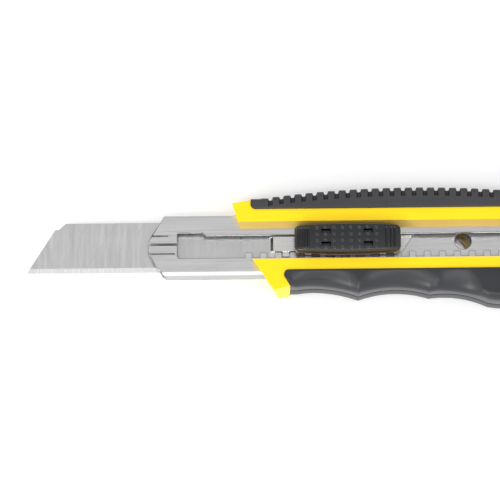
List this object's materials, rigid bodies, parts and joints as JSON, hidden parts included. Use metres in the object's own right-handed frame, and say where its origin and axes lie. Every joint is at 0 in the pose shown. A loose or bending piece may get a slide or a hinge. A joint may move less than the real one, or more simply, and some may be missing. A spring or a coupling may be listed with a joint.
{
  "type": "snap-off utility knife",
  "caption": "Heavy duty 18 mm snap-off utility knife with a two-part plastic handle, soft grips, steel blade channel, toothed slide lock and thumb button.",
  "frame": {"origin": "on the flat back of the handle, on the centre line of the blade, about half way along the handle", "axes": "+Z from the back of the handle towards the thumb button; -X towards the blade tip; -Y towards the cutting edge"},
  "size_m": [0.2101, 0.0415, 0.0196],
  "materials": {
    "yellow_shell": "smooth moulded plastic",
    "upper_grip_rubber": "ribbed soft rubber",
    "lower_grip_rubber": "smooth soft rubber",
    "channel_steel": "rolled sheet steel",
    "blade_steel": "ground steel with score lines",
    "carrier_steel": "pressed sheet steel",
    "spring_steel": "spring steel strip",
    "dark_steel": "blackened steel",
    "black_plastic": "semi-gloss moulded plastic",
    "cap_plastic": "matt moulded plastic"
  },
  "bodies": {
    "handle": {"back_shell": "yellow_shell", "front_shell": "yellow_shell", "back_upper_grip": "upper_grip_rubber", "front_upper_grip": "upper_grip_rubber", "back_lower_grip": "lower_grip_rubber", "front_lower_grip": "lower_grip_rubber", "blade_channel": "channel_steel", "spare_blade_1": "blade_steel", "spare_blade_2": "blade_steel", "spare_blade_3": "blade_steel", "magazine_spring": "spring_steel", "shell_screws": "dark_steel"},
    "carriage": {"blade": "blade_steel", "blade_pin": "dark_steel", "blade_holder": "carrier_steel", "lock_spring": "spring_steel", "slider_rivets": "dark_steel", "slider_base": "black_plastic"},
    "button": {"thumb_button": "black_plastic"},
    "cap": {"end_cap": "cap_plastic"}
  },
  "joints": [
    {"name": "blade_slide", "type": "slide", "parent": "handle", "child": "carriage", "axis": [1, 0, 0], "range_m": [-0.0156, 0.0468]},
    {"name": "button_press", "type": "slide", "parent": "carriage", "child": "button", "axis": [0, 0, -1], "range_m": [0, 0.0008], "stiffness_N_per_m": 600, "deforming": ["lock_spring"]},
    {"name": "cap_pull", "type": "slide", "parent": "handle", "child": "cap", "axis": [1, 0, 0], "range_m": [0, 0.03]}
  ]
}
